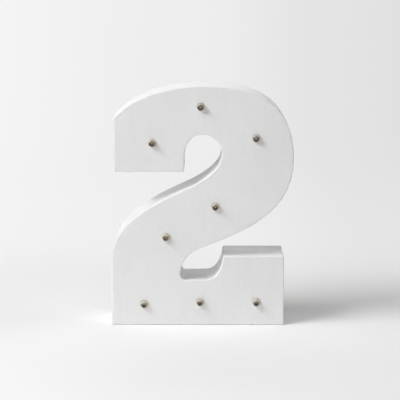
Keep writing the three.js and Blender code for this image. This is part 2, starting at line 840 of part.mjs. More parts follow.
// A clear dome about its own Z axis. Its flange seats at height zero, behind the front panel,
// and it is open below, where the lead frame stands in it.
function ledLens() {
  const radius = ledDiameter / 2;
  const tip = ledLength - ledFlangeThickness;
  const roof = tip - ledRoof;
  const dome = Array.from({ length: domeSteps }, (_, step) => {
    const angle = (step / domeSteps) * (Math.PI / 2);
    return [radius * Math.cos(angle), tip - radius + radius * Math.sin(angle)];
  });
  return turned([
    [0, roof],
    [ledCavityDiameter / 2, roof],
    [ledCavityDiameter / 2, -ledFlangeThickness],
    [ledFlangeDiameter / 2, -ledFlangeThickness],
    [ledFlangeDiameter / 2, 0],
    [radius, 0],
    ...dome,
    [0, tip],
  ]);
}

// Two leads, the longer post with the reflector cup, its chip, and the bond wire to the other post.
function ledLeadFrame() {
  const pitch = leadPitch / 2;
  const half = leadSize / 2;
  const end = -leadTail;
  const cupTop = ledLength - ledFlangeThickness - ledRoof - cupDrop;
  const cupFloor = cupTop - cupDepth;
  const postTop = cupTop - cupHeight;
  const anode = box([pitch - half, -half, end], [pitch + half, half, cupFloor]);
  const cathode = box([-pitch - half, -half, end], [half - pitch, half, postTop]);
  const anvil = box([-pitch - half, -half, anvilBottom], [cupDiameter / 2 - cupWall, half, postTop]);
  const cup = turned([
    [0, postTop - cupWall],
    [cupDiameter / 2 - cupWall, postTop - cupWall],
    [cupDiameter / 2, cupTop],
    [cupDiameter / 2 - cupWall, cupTop],
    [chipSize, cupFloor],
    [0, cupFloor],
  ], cupSides);
  const chipHalf = chipSize / 2;
  const chip = box([-chipHalf, -chipHalf, cupFloor - cupWall], [chipHalf, chipHalf, cupFloor + cupWall]);
  const loop = new THREE.QuadraticBezierCurve3(
    new THREE.Vector3(pitch, 0, cupFloor - half),
    new THREE.Vector3(pitch, 0, cupTop + bondWireRise),
    new THREE.Vector3(0, 0, cupFloor),
  );
  const bondWire = tube(loop, bondWireDiameter, bondWireSides, bondWireSteps);
  return anode.add(bondWire).add(cathode.add(anvil).add(cup).add(chip));
}

// The run of the LED wires from lamp to lamp, and the sideways direction at each lamp.
const wireY = faceBackY + wireDepth;
const ledRun = new THREE.CatmullRomCurve3(
  ledPlaces.map(({ x, y: z }) => new THREE.Vector3(x, wireY, z)),
);
const ledSideways = ledPlaces.map((_, index) => {
  const heading = ledRun.getTangent(index / (ledPlaces.length - 1));
  return new THREE.Vector2(-heading.z, heading.x).normalize();
});

// Each LED is turned so that its two leads face the two wires.
function addLeds() {
  ledPlaces.forEach(({ x, y: z }, index) => {
    const lamp = new THREE.Group();
    lamp.position.set(x, faceBackY, z);
    lamp.rotation.set(Math.PI / 2, 0, 0);
    object.add(lamp);
    const roll = ledSideways[index].angle();
    const lens = addPiece(`led_lens_${index + 1}`, ledLens(), clearEpoxy, lamp);
    lens.rotation.z = roll;
    const frame = addPiece(`led_lead_frame_${index + 1}`, ledLeadFrame(), tinned, lamp);
    frame.rotation.z = roll;
  });
}

// A place from its shares of the width, the depth from the face, and the height.
function placeInside([xShare, depthShare, zShare]) {
  const { x, y: z } = placeOf([xShare, zShare]);
  return new THREE.Vector3(x, faceY + depthShare * numberDepth, z);
}

// The points of a LED wire, beside the leads that it is soldered to.
function besideLeads(side) {
  const offset = side * (leadPitch / 2 + leadSize / 2 + solderGap + wireDiameter / 2);
  return ledPlaces.map(({ x, y: z }, index) => {
    const sideways = ledSideways[index];
    return new THREE.Vector3(x + offset * sideways.x, wireY, z + offset * sideways.y);
  });
}

function addWire(name, points, look) {
  const curve = new THREE.CatmullRomCurve3(points);
  const steps = Math.round(curve.getLength() / wireStep);
  addPiece(name, tube(curve, wireDiameter, wireSides, steps), look);
}

// The last two points of a wire that meets the end of a tab or pin, which points to the face.
function meetTip(x, tipY, z) {
  return [
    new THREE.Vector3(x, tipY - fitGap - wireEnd, z),
    new THREE.Vector3(x, tipY - fitGap, z),
  ];
}

function addWires() {
  const tabTipY = trayFloorY - tabLength;
  const tabZ = cavityBottom + contactThickness / 2;
  const resistorY = pinTipY + resistor.leadDiameter;
  const resistorZ = switchPlace.y + pinSize / 2 + fitGap + resistor.leadDiameter / 2;
  const resistorLeft = switchPlace.x + pinPitch - pinSize / 2;
  const resistorSpan = resistor.length + 2 * resistor.leadLength;
  const soldered = resistorLeft + resistorSpan + fitGap;
  const resistorMesh = addPiece("resistor", resistorSolid(), resistorBody);
  resistorMesh.rotation.y = Math.PI / 2;
  resistorMesh.position.set(resistorLeft, resistorY, resistorZ);
  addWire(
    "led_positive_wire",
    [
      ...besideLeads(1),
      ...positiveTurnShares.map(placeInside),
      new THREE.Vector3(soldered + wireEnd, resistorY, resistorZ),
      new THREE.Vector3(soldered, resistorY, resistorZ),
    ],
    redInsulation,
  );
  addWire(
    "led_negative_wire",
    [
      ...besideLeads(-1),
      ...negativeReturnShares.map(placeInside),
      ...meetTip(trayX - cellOffset, tabTipY, tabZ),
    ],
    blackInsulation,
  );
  addWire(
    "switch_wire",
    [
      ...meetTip(trayX + cellOffset, tabTipY, tabZ).toReversed(),
      ...switchWireShares.map(placeInside),
      ...meetTip(switchPlace.x, pinTipY, switchPlace.y),
    ],
    redInsulation,
  );
}

// A resistor about its own Z axis, from the end of one lead to the end of the other.
function resistorSolid() {
  const { diameter, length, leadDiameter, leadLength } = resistor;
  const far = leadLength + length;
  return turned([
    [0, 0],
    [leadDiameter / 2, 0],
    [leadDiameter / 2, leadLength],
    [diameter / 2, leadLength],
    [diameter / 2, far],
    [leadDiameter / 2, far],
    [leadDiameter / 2, far + leadLength],
    [0, far + leadLength],
  ]);
}

addFrontPanel();
addWallStrips();
addGlueBlocks();
addBackPanel();
addLeds();
addWires();
addBatteryTray();
addBatteryCover();
addHingePin();
addCells();
addContacts();
addSwitchFrame();
addSwitchBody();
addSwitchSlider();
addHangerPlate();
addScrews();
console.log(`least gap of a spring to itself: ${springGap().toFixed(2)} mm`);

export default object;
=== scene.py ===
import math

import bmesh
import bpy
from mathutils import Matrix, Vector


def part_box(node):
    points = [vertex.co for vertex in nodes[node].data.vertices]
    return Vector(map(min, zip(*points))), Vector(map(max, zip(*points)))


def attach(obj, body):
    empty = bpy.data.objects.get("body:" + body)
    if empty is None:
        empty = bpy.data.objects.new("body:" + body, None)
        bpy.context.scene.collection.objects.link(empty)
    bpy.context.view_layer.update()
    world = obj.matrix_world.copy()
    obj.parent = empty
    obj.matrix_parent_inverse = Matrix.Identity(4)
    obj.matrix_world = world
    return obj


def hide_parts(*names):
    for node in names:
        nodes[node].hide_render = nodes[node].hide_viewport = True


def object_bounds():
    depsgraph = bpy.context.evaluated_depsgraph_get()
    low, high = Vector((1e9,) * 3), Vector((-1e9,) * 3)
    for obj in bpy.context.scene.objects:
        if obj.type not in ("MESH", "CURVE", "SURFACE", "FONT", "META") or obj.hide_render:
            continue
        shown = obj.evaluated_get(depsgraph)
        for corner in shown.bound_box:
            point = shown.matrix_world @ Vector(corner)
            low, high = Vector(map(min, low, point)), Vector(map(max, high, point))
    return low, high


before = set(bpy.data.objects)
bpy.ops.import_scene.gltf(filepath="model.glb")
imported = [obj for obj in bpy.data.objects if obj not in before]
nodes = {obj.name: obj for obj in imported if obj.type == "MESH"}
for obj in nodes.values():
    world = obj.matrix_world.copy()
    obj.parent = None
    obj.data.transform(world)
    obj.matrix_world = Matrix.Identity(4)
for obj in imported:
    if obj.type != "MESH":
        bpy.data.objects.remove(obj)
cad_low, cad_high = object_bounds()

MM = 0.001


def linear(value):
    """A grey or colour level of the screen, 0 to 1, as the linear level that renders as it."""
    return value / 12.92 if value <= 0.04045 else ((value + 0.055) / 1.055) ** 2.4


def screen(red, green, blue):
    """A colour given as screen levels from 0 to 255."""
    return tuple(linear(level / 255) for level in (red, green, blue)) + (1.0,)


def grey(share):
    """A grey that sends back this share of the light."""
    return (share, share, share, 1.0)


# The two levels of a mask
OFF = grey(0.0)
ON = grey(1.0)

# Which directions lie across an axis
ACROSS_Y = (1, 0, 1)
ACROSS_Z = (1, 1, 0)

# The ways in which the lamps and the heads of the screws point
FORWARDS = (0, -1, 0)
BACKWARDS = (0, 1, 0)

# Spans in which most of a pattern's values lie: of plain noise, of broad clouds, and of two noises added
NOISE_SPAN = (0.3, 0.7)
CLOUD_SPAN = (0.35, 0.65)
TWO_NOISES_SPAN = (0.7, 1.3)

# Levels as far below 0 as above it
CENTRED = (-0.5, 0.5)

# Spots of a surface: full up to this share of their radius, and left out by chance under the first level
SPOT_CORE = 0.5
SPOT_CHANCE = (0.45, 0.55)


class Nodes:
    """A small builder for the node tree of a material or a world."""

    def __init__(self, owner, output_kind):
        owner.use_nodes = True
        self.tree = owner.node_tree
        self.tree.nodes.clear()
        self.out = self.add(output_kind)

    def add(self, kind, inputs=None, **settings):
        """A new node of a kind, with inputs given by name or number, and its settings."""
        node = self.tree.nodes.new(kind)
        for name, value in settings.items():
            setattr(node, name, value)
        for name, value in (inputs or {}).items():
            self.feed(node.inputs[name], value)
        return node

    def feed(self, socket, value):
        """Links a socket to another one, or gives it a value of its own."""
        if isinstance(value, bpy.types.NodeSocket):
            self.tree.links.new(value, socket)
        else:
            socket.default_value = value

    def ramp(self, value, stops, interpolation="EASE"):
        """The colour of the stops at a value, each stop a place from 0 to 1 and a colour."""
        node = self.add("ShaderNodeValToRGB", {"Fac": value})
        elements = node.color_ramp.elements
        while len(elements) < len(stops):
            elements.new(0.5)
        for element, (place, colour) in zip(elements, stops):
            element.position = place
            element.color = colour
        node.color_ramp.interpolation = interpolation
        return node.outputs["Color"]

    def between(self, value, first, last):
        """A colour from the first, where the value is 0, to the last, where it is 1."""
        return self.ramp(value, [(0.0, first), (1.0, last)])

    def levels(self, value, span, out=(0.0, 1.0)):
        """Eases from the out levels' first to their second while the value goes over the span."""
        inputs = {
            "Value": value,
            "From Min": span[0],
            "From Max": span[1],
            "To Min": out[0],
            "To Max": out[1],
        }
        return self.add("ShaderNodeMapRange", inputs, interpolation_type="SMOOTHSTEP").outputs["Result"]

    def math(self, operation, first, second):
        """The result of an operation on two values."""
        node = self.add("ShaderNodeMath", operation=operation)
        for socket, value in zip(node.inputs, (first, second)):
            self.feed(socket, value)
        return node.outputs["Value"]

    def total(self, *parts):
        """The sum of values, each given with its weight."""
        weighted = [self.math("MULTIPLY", value, weight) for value, weight in parts]
        result = weighted[0]
        for value in weighted[1:]:
            result = self.math("ADD", result, value)
        return result

    def mix(self, share, first, second, blend="MIX"):
        """Two colours, by the second's share. The node's sockets for colours have these numbers."""
        inputs = {0: share, 6: first, 7: second}
        return self.add("ShaderNodeMix", inputs, data_type="RGBA", blend_type=blend).outputs[2]

    def mix_shaders(self, share, first, second):
        """Two shaders, by the second's share."""
        return self.add("ShaderNodeMixShader", {0: share, 1: first, 2: second}).outputs["Shader"]

    def seen_rays(self):
        """1 for the rays that the camera sees by, straight or through gloss and glass, and 0 for light."""
        path = self.add("ShaderNodeLightPath").outputs
        seen = self.math("MAXIMUM", path["Is Camera Ray"], path["Is Glossy Ray"])
        return self.math("MAXIMUM", seen, path["Is Transmission Ray"])

    def end_in(self, shader):
        """Leads a shader out of the tree."""
        self.feed(self.out.inputs["Surface"], shader)


class Look(Nodes):
    """A new material, with patterns laid in the object's own coordinates."""

    def __init__(self, name):
        self.material = bpy.data.materials.new(name)
        super().__init__(self.material, "ShaderNodeOutputMaterial")
        self.coords = self.add("ShaderNodeTexCoord").outputs["Object"]

    def noise(self, per_metre, detail, stretch=(1, 1, 1), roughness=0.5, shift=(0, 0, 0), warp=0.0):
        """Noise with this many features per metre, drawn out along an axis by a stretch under 1."""
        placed = self.add("ShaderNodeMapping", {"Vector": self.coords, "Scale": stretch, "Location": shift})
        inputs = {
            "Vector": placed.outputs["Vector"],
            "Scale": per_metre,
            "Detail": detail,
            "Roughness": roughness,
            "Distortion": warp,
        }
        return self.add("ShaderNodeTexNoise", inputs).outputs["Fac"]

    def spots(self, per_metre, radius, shift=(0, 0, 0)):
        """1 in round spots, with a radius in shares of their spacing, some left out, and 0 elsewhere."""
        placed = self.add("ShaderNodeMapping", {"Vector": self.coords, "Location": shift})
        cells = self.add("ShaderNodeTexVoronoi", {"Vector": placed.outputs["Vector"], "Scale": per_metre})
        near = self.levels(cells.outputs["Distance"], (radius, SPOT_CORE * radius))
        chance = self.add("ShaderNodeSeparateColor", {"Color": cells.outputs["Color"]}).outputs["Red"]
        return self.math("MULTIPLY", near, self.levels(chance, SPOT_CHANCE))

    def bump(self, height, relief, strength, normal=None):
        """The normal of a surface that rises by the relief, in metres, where the height is 1."""
        inputs = {"Height": height, "Distance": relief, "Strength": strength}
        if normal is not None:
            inputs["Normal"] = normal
        return self.add("ShaderNodeBump", inputs).outputs["Normal"]

    def place(self, axis):
        """The coordinate along an axis, in metres."""
        return self.add("ShaderNodeSeparateXYZ", {"Vector": self.coords}).outputs[axis]

    def along(self, axis, low, high):
        """The coordinate along an axis, from 0 at low to 1 at high."""
        inputs = {"Value": self.place(axis), "From Min": low, "From Max": high}
        return self.add("ShaderNodeMapRange", inputs).outputs["Result"]

    def distance(self, place, coords=None):
        """The distance from a place, of the object's own coordinates or of the given ones."""
        inputs = {0: coords or self.coords, 1: place}
        return self.add("ShaderNodeVectorMath", inputs, operation="DISTANCE").outputs["Value"]

    def off_axis(self, place, across):
        """The distance from an axis. The place on it and the directions across it are 0 along it."""
        inputs = {0: self.coords, 1: across}
        flat = self.add("ShaderNodeVectorMath", inputs, operation="MULTIPLY").outputs["Vector"]
        return self.distance(place, flat)

    def finish(self, **inputs):
        """Ends the tree in a Principled shader with these inputs, whose names have _ for spaces."""
        named = {name.replace("_", " "): value for name, value in inputs.items()}
        self.end_in(self.add("ShaderNodeBsdfPrincipled", named).outputs["BSDF"])
        return self.material


def lamp_place(number):
    """The middle of a lamp's back, where its flange seats behind the front panel."""
    low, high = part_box(f"led_lens_{number}")
    return Vector(((low.x + high.x) / 2, high.y, (low.z + high.z) / 2))


# Bare fibreboard
BOARD_DARK = screen(146, 114, 79)
BOARD_MIDDLE = screen(172, 140, 102)
BOARD_PALE = screen(193, 163, 126)
BOARD_CLOUDED = screen(233, 229, 224)
BOARD_CLEAR = screen(255, 255, 255)
DARK_FLECK = screen(104, 76, 48)
PALE_FLECK = screen(216, 192, 158)
DARK_FLECK_SHARE = 0.55
PALE_FLECK_SHARE = 0.45
FIBRE_SPAN = (0.36, 0.64)
BOARD_ROUGHNESS = (0.92, 0.72)
BOARD_RELIEF = 0.12 * MM


def board_tone(m):
    """The colour and the height of bare fibreboard: matted fibres, with darker and paler flecks."""
    cloud = m.noise(per_metre=26, detail=5)
    matted = m.noise(per_metre=620, detail=7, roughness=0.72, warp=1.6)
    fine = m.noise(per_metre=2300, detail=3, roughness=0.6, shift=(5, 2, 9), warp=0.8)
    tone = m.total((matted, 0.65), (fine, 0.35))
    fibres = [(0.0, BOARD_DARK), (0.5, BOARD_MIDDLE), (1.0, BOARD_PALE)]
    colour = m.ramp(m.levels(tone, FIBRE_SPAN), fibres)
    patch = m.between(m.levels(cloud, CLOUD_SPAN), BOARD_CLOUDED, BOARD_CLEAR)
    colour = m.mix(1.0, colour, patch, "MULTIPLY")
    dark_flecks = m.math("MULTIPLY", m.spots(per_metre=700, radius=0.32), DARK_FLECK_SHARE)
    colour = m.mix(dark_flecks, colour, DARK_FLECK)
    pale_flecks = m.math("MULTIPLY", m.spots(per_metre=520, radius=0.3, shift=(3, 1, 7)), PALE_FLECK_SHARE)
    return m.mix(pale_flecks, colour, PALE_FLECK), tone


def raw_board():
    """Bare hardboard: brown pressed fibres, with paler and darker flecks."""
    m = Look("raw_board")
    colour, tone = board_tone(m)
    return m.finish(
        Base_Color=colour,
        Roughness=m.levels(tone, NOISE_SPAN, BOARD_ROUGHNESS),
        Specular_IOR_Level=0.25,
        Normal=m.bump(tone, BOARD_RELIEF, strength=0.6),
    )


# Satin white paint. Where it is off, the board lies lower, by a multiple of the relief
PAINT_DARK = screen(237, 237, 236)
PAINT_MIDDLE = screen(240, 240, 240)
PAINT_PALE = screen(243, 243, 243)
PAINT_SPAN = (-0.8, 0.8)
PAINT_ROUGHNESS = (0.42, 0.52)
PAINT_RELIEF = 0.12 * MM
PAINT_THICKNESS_IN_RELIEFS = 1.5
BARE_ROUGHNESS = 0.85
EASED_EDGE = 0.5 * MM
EASED_EDGE_SAMPLES = 6


def paint_tone(m):
    """The colour and the height of the paint: faint upright brush marks over a fine orange peel."""
    streaks = m.noise(per_metre=420, detail=4, stretch=(1, 1, 0.1))
    fine = m.noise(per_metre=1500, detail=3, stretch=(1, 1, 0.3), shift=(3, 1, 2))
    peel = m.noise(per_metre=520, detail=2, shift=(1, 8, 4))
    cloud = m.noise(per_metre=14, detail=4, shift=(7, 2, 5))
    tone = m.total(
        (m.levels(streaks, NOISE_SPAN, CENTRED), 0.35),
        (m.levels(peel, NOISE_SPAN, CENTRED), 0.5),
        (m.levels(cloud, CLOUD_SPAN, CENTRED), 0.6),
    )
    coats = [(0.0, PAINT_DARK), (0.5, PAINT_MIDDLE), (1.0, PAINT_PALE)]
    colour = m.ramp(m.levels(tone, PAINT_SPAN), coats)
    return colour, m.total((streaks, 0.4), (peel, 0.35), (fine, 0.3))


def soft_edges(m):
    """The normal of a surface whose edges are eased by sanding and paint."""
    return m.add("ShaderNodeBevel", {"Radius": EASED_EDGE}, samples=EASED_EDGE_SAMPLES).outputs["Normal"]


def white_paint(name, bare=None):
    """Satin white paint on hardboard, with the bare board showing where the given mask is 1."""
    m = Look(name)
    colour, height = paint_tone(m)
    rough = m.levels(m.noise(per_metre=22, detail=3, shift=(4, 6, 1)), NOISE_SPAN, PAINT_ROUGHNESS)
    if bare is not None:
        share = bare(m)
        board, fibres = board_tone(m)
        colour = m.mix(share, colour, board)
        sunk = m.math("SUBTRACT", fibres, PAINT_THICKNESS_IN_RELIEFS)
        height = m.math("ADD", height, m.math("MULTIPLY", share, sunk))
        rough = m.math("MAXIMUM", rough, m.math("MULTIPLY", share, BARE_ROUGHNESS))
    return m.finish(
        Base_Color=colour,
        Roughness=rough,
        Specular_IOR_Level=0.35,
        Normal=m.bump(height, PAINT_RELIEF, strength=0.35, normal=soft_edges(m)),
    )


# Bare spots of the front panel: the walls of its lamp holes, and a nick in its bottom edge. Their
# edges fade between two multiples of the radius
LED_COUNT = 8
BEYOND_LAMPS = 1.0
HOLE_RADIUS = 2.65 * MM
HOLE_EDGE = (1.06, 1.03)
PAINT_IN_HOLE = 0.5 * MM
PAINT_IN_HOLE_END = 1.6 * PAINT_IN_HOLE
NICK_PLACE = Vector((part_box("led_lens_8")[0].x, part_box("front_panel")[0].y, 0))
NICK_RADIUS = 0.8 * MM
NICK_EDGE = (1.4, 1.1)


def panel_bare(m):
    """1 in the lamp holes, behind the paint that has run into them, and in the nick."""
    nearest = BEYOND_LAMPS
    for number in range(1, LED_COUNT + 1):
        axis = lamp_place(number)
        nearest = m.math("MINIMUM", nearest, m.off_axis((axis.x, 0, axis.z), ACROSS_Y))
    round_hole = m.levels(nearest, [share * HOLE_RADIUS for share in HOLE_EDGE])
    face_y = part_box("front_panel")[0].y
    deep = m.levels(m.place("Y"), (face_y + PAINT_IN_HOLE, face_y + PAINT_IN_HOLE_END))
    ragged = m.math("MULTIPLY", m.noise(per_metre=900, detail=3), NICK_RADIUS)
    off_nick = m.math("ADD", m.distance(NICK_PLACE), ragged)
    nick = m.levels(off_nick, [share * NICK_RADIUS for share in NICK_EDGE])
    return m.math("MAXIMUM", m.math("MULTIPLY", round_hole, deep), nick)


# Plated metal, of the fittings and of the leads in the lamps, whose chips lie under a yellow phosphor.
# The leads are a dark brown in place of tinned silver, as painted shade inside the lamps
ZINC_DARK = screen(172, 175, 180)
ZINC_PALE = screen(208, 210, 214)
# Painted shade: dark brown leads stand in for the shade inside the lamps
LEAD_PAINTED_SHADE_DARK = screen(100, 88, 73)
LEAD_PAINTED_SHADE_PALE = screen(156, 143, 124)
PHOSPHOR_DARK = screen(244, 238, 220)
PHOSPHOR_PALE = screen(252, 248, 236)
PHOSPHOR_RADIUS = 0.45 * MM
PHOSPHOR_CORE = 0.8 * PHOSPHOR_RADIUS
PLATING_SPAN = (0.35, 0.75)
PLATING_ROUGHNESS = (0.28, 0.45)
DULL_SPAN = (0.55, 0.7)
DULLER_IN_SPOTS = 0.12
CRYSTALS_PER_METRE = 900.0
PLATING_RELIEF = 0.01 * MM


def plated_steel(name, low, high, phosphor=None):
    """Plated metal: a cloudy tone between two colours, a fine grain, faint scratches and dull spots.
    Where the given mask is 1, a LED's pale yellow phosphor covers it."""
    m = Look(name)
    cloud = m.noise(per_metre=120, detail=5, warp=0.6)
    grain = m.noise(per_metre=2600, detail=3, shift=(2, 5, 1))
    scratches = m.noise(per_metre=900, detail=2, stretch=(0.04, 1, 1.2), shift=(6, 3, 2), warp=0.3)
    crystals = m.add("ShaderNodeTexVoronoi", {"Vector": m.coords, "Scale": CRYSTALS_PER_METRE})
    crystal = m.add("ShaderNodeSeparateColor", {"Color": crystals.outputs["Color"]}).outputs["Red"]
    tone = m.total((cloud, 0.7), (crystal, 0.08), (grain, 0.25))
    dull = m.levels(m.noise(per_metre=60, detail=4, shift=(8, 1, 5)), DULL_SPAN)
    rough = m.levels(m.math("ADD", grain, cloud), TWO_NOISES_SPAN, PLATING_ROUGHNESS)
    colour = m.between(m.levels(tone, PLATING_SPAN), low, high)
    metal = 1.0
    if phosphor is not None:
        share = phosphor(m)
        paste = m.between(m.levels(grain, NOISE_SPAN), PHOSPHOR_DARK, PHOSPHOR_PALE)
        colour = m.mix(share, colour, paste)
        metal = m.math("SUBTRACT", 1.0, share)
    return m.finish(
        Base_Color=colour,
        Metallic=metal,
        Roughness=m.math("ADD", rough, m.math("MULTIPLY", dull, DULLER_IN_SPOTS)),
        Normal=m.bump(m.total((grain, 1.0), (scratches, 1.5)), PLATING_RELIEF, strength=0.6),
    )


def lead_frame(number):
    """The tinned leads of a lamp, dark brown as painted shade, and the phosphor over the chip in its cup.
    """
    axis = lamp_place(number)

    def over_chip(m):
        off_chip = m.off_axis((axis.x, 0, axis.z), ACROSS_Y)
        return m.levels(off_chip, (PHOSPHOR_RADIUS, PHOSPHOR_CORE))

    return plated_steel(f"lead_frame_{number}", LEAD_PAINTED_SHADE_DARK, LEAD_PAINTED_SHADE_PALE, phosphor=over_chip)


# Moulded plastics and insulation
MOULD_RELIEF = 0.03 * MM
MOULD_DUST = screen(150, 148, 144)
DUST_SPAN = (0.7, 0.76)


def moulded(name, low, high, rough, speck=0.0):
    """Moulded plastic: a fine spark-eroded texture, slight clouding of tone, and a few dust specks."""
    m = Look(name)
    cloud = m.noise(per_metre=45, detail=4)
    erosion = m.noise(per_metre=3800, detail=3, roughness=0.6)
    coarse = m.noise(per_metre=900, detail=2, shift=(4, 4, 1))
    colour = m.between(m.levels(cloud, CLOUD_SPAN), low, high)
    if speck:
        dust = m.levels(m.noise(per_metre=1600, detail=1, shift=(9, 1, 3)), DUST_SPAN)
        colour = m.mix(m.math("MULTIPLY", dust, speck), colour, MOULD_DUST)
    return m.finish(
        Base_Color=colour,
        Roughness=m.levels(m.math("ADD", erosion, coarse), TWO_NOISES_SPAN, rough),
        Normal=m.bump(m.total((erosion, 1.0), (coarse, 0.5)), MOULD_RELIEF, strength=0.6),
    )


# Resistor: lacquer with colour bands on its body, whose ends and bands are shares of its whole length
TINNED = screen(188, 185, 178)
LACQUER = screen(201, 170, 122)
LACQUER_GRIME = screen(120, 100, 80)
BAND_BROWN = screen(120, 60, 30)
BAND_BLACK = screen(20, 20, 20)
BAND_GOLD = screen(190, 150, 60)
BODY_START = 0.28
BODY_END = 0.72
BAND_WIDTH = 0.035
BANDS = ((0.34, BAND_BROWN), (0.43, BAND_BLACK), (0.52, BAND_BROWN), (0.63, BAND_GOLD))
GRIME_SPAN = (0.4, 0.7)
GRIME_SHARE = (0.0, 0.15)
LACQUER_ROUGHNESS = (0.3, 0.42)
LACQUER_RELIEF = 0.02 * MM


def resistor_paint(low, high):
    """Tan lacquer with four colour bands between two bare tinned leads."""
    m = Look("resistor_paint")
    share = m.along("X", low, high)
    fine = m.noise(per_metre=1800, detail=3)
    stops = [(0.0, TINNED), (BODY_START, LACQUER)]
    for start, colour in BANDS:
        stops += [(start, colour), (start + BAND_WIDTH, LACQUER)]
    stops.append((BODY_END, TINNED))
    bands = m.ramp(share, stops, "CONSTANT")
    return m.finish(
        Base_Color=m.mix(m.levels(fine, GRIME_SPAN, GRIME_SHARE), bands, LACQUER_GRIME),
        Metallic=m.ramp(share, [(0.0, ON), (BODY_START, OFF), (BODY_END, ON)], "CONSTANT"),
        Roughness=m.levels(fine, NOISE_SPAN, LACQUER_ROUGHNESS),
        Normal=m.bump(fine, LACQUER_RELIEF, strength=0.4),
    )


# Materials of the wood and the fittings
PAINT = white_paint("white_paint")
PANEL_PAINT = white_paint("front_panel_paint", panel_bare)
BOARD = raw_board()
STEEL = plated_steel("zinc_steel", ZINC_DARK, ZINC_PALE)
WHITE_PLASTIC = moulded("white_plastic", screen(228, 228, 226), screen(237, 237, 235), (0.4, 0.55))
BLACK_PLASTIC = moulded("black_plastic", screen(20, 20, 21), screen(32, 32, 33), (0.35, 0.5), speck=0.25)
RED_PVC = moulded("red_insulation", screen(150, 22, 20), screen(176, 32, 28), (0.3, 0.42), speck=0.1)
BLACK_PVC = moulded("black_insulation", screen(18, 18, 18), screen(30, 30, 30), (0.3, 0.42), speck=0.2)


def material_for(name):
    """The material of a solid, by its name."""
    if name == "front_panel":
        return PANEL_PAINT
    if name.startswith("led_lead_frame"):
        return lead_frame(int(name.rsplit("_", 1)[1]))
    if name in ("led_positive_wire", "switch_wire"):
        return RED_PVC
    if name == "led_negative_wire":
        return BLACK_PVC
    if name in ("battery_tray", "battery_cover"):
        return WHITE_PLASTIC
    if name in ("switch_body", "switch_slider"):
        return BLACK_PLASTIC
    if name.endswith(("_contact", "_screw")) or name in ("cover_hinge_pin", "switch_frame", "hanger_plate"):
        return STEEL
    if name == "back_panel" or name.endswith("_glue_block"):
        return BOARD
    if name == "resistor":
        low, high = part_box(name)
        return resistor_paint(low.x, high.x)
    return PAINT


# Smooth shading: edges that turn by more than these degrees stay crisp
SOLID_EDGE = 35
PIECE_EDGE = 40
CELL_EDGE = 30
WELD_DISTANCE = 0.001 * MM


def smoothing_group():
    """Geometry nodes that shade a mesh smooth, apart from its edges over the given angle."""
    tree = bpy.data.node_groups.new("smooth_by_angle", "GeometryNodeTree")
    tree.interface.new_socket("Geometry", in_out="INPUT", socket_type="NodeSocketGeometry")
    tree.interface.new_socket("Angle", in_out="INPUT", socket_type="NodeSocketFloat")
    tree.interface.new_socket("Geometry", in_out="OUTPUT", socket_type="NodeSocketGeometry")
    entry = tree.nodes.new("NodeGroupInput")
    leave = tree.nodes.new("NodeGroupOutput")
    faces = tree.nodes.new("GeometryNodeSetShadeSmooth")
    faces.domain = "FACE"
    edges = tree.nodes.new("GeometryNodeSetShadeSmooth")
    edges.domain = "EDGE"
    angle = tree.nodes.new("GeometryNodeInputMeshEdgeAngle")
    compare = tree.nodes.new("FunctionNodeCompare")
    compare.operation = "LESS_EQUAL"
    tree.links.new(entry.outputs["Geometry"], faces.inputs["Geometry"])
    tree.links.new(faces.outputs["Geometry"], edges.inputs["Geometry"])
    tree.links.new(angle.outputs["Unsigned Angle"], compare.inputs["A"])
    tree.links.new(entry.outputs["Angle"], compare.inputs["B"])
    tree.links.new(compare.outputs["Result"], edges.inputs["Shade Smooth"])
    tree.links.new(edges.outputs["Geometry"], leave.inputs["Geometry"])
    return tree


SMOOTHING = smoothing_group()


def smooth(obj, degrees):
    """Welds a mesh, shades it smooth apart from its real edges, and keeps its flat faces flat."""
    weld = obj.modifiers.new("weld", "WELD")
    weld.merge_threshold = WELD_DISTANCE
    rounding = obj.modifiers.new("smooth", "NODES")
    rounding.node_group = SMOOTHING
    rounding["Socket_1"] = math.radians(degrees)
    flat = obj.modifiers.new("flat", "WEIGHTED_NORMAL")
    flat.keep_sharp = True


def dress(obj, material):
    """Gives a solid its one material, and smooth shading."""
    obj.data.materials.clear()
    obj.data.materials.append(material)
    smooth(obj, SOLID_EDGE)


for node_name, node in nodes.items():
    if not node_name.startswith("led_lens"):
        dress(node, material_for(node_name))


# New pieces, each in the place of a solid
TURN_SIDES = 48


def filled_mesh(name, mesh_maker):
    """A mesh from a function that fills a bmesh, with its faces turned outwards."""
    mesh = bpy.data.meshes.new(name)
    bm = bmesh.new()
    mesh_maker(bm)
    bmesh.ops.recalc_face_normals(bm, faces=bm.faces)
    bm.to_mesh(mesh)
    bm.free()
    return mesh


def new_piece(name, mesh, material, replaced, degrees=PIECE_EDGE):
    """A mesh as a named piece that stands for a solid, on the body that carries the solid."""
    for face in mesh.polygons:
        face.use_smooth = True
    obj = bpy.data.objects.new(name, mesh)
    bpy.context.scene.collection.objects.link(obj)
    mesh.materials.clear()
    mesh.materials.append(material)
    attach(obj, "numeral")
    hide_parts(replaced)
    smooth(obj, degrees)


def turn_about(bm, centre, axis, profile, sides=TURN_SIDES):
    """Turns a profile of (radius, height along the axis) about the axis through the centre."""
    axis = Vector(axis).normalized()
    first = axis.orthogonal().normalized()
    second = axis.cross(first)
    rings = []
    for radius, height in profile:
        middle = centre + axis * height
        if radius == 0:
            rings.append([bm.verts.new(middle)])
            continue
        ring = []
        for side in range(sides):
            angle = 2 * math.pi * side / sides
            across = first * radius * math.cos(angle)
            upwards = second * radius * math.sin(angle)
            ring.append(bm.verts.new(middle + across + upwards))
        rings.append(ring)
    for near, far in zip(rings, rings[1:]):
        for side in range(sides):
            turn = (side + 1) % sides
            if len(near) == 1:
                bm.faces.new((near[0], far[side], far[turn]))
            elif len(far) == 1:
                bm.faces.new((near[side], near[turn], far[0]))
            else:
                bm.faces.new((near[side], near[turn], far[turn], far[side]))


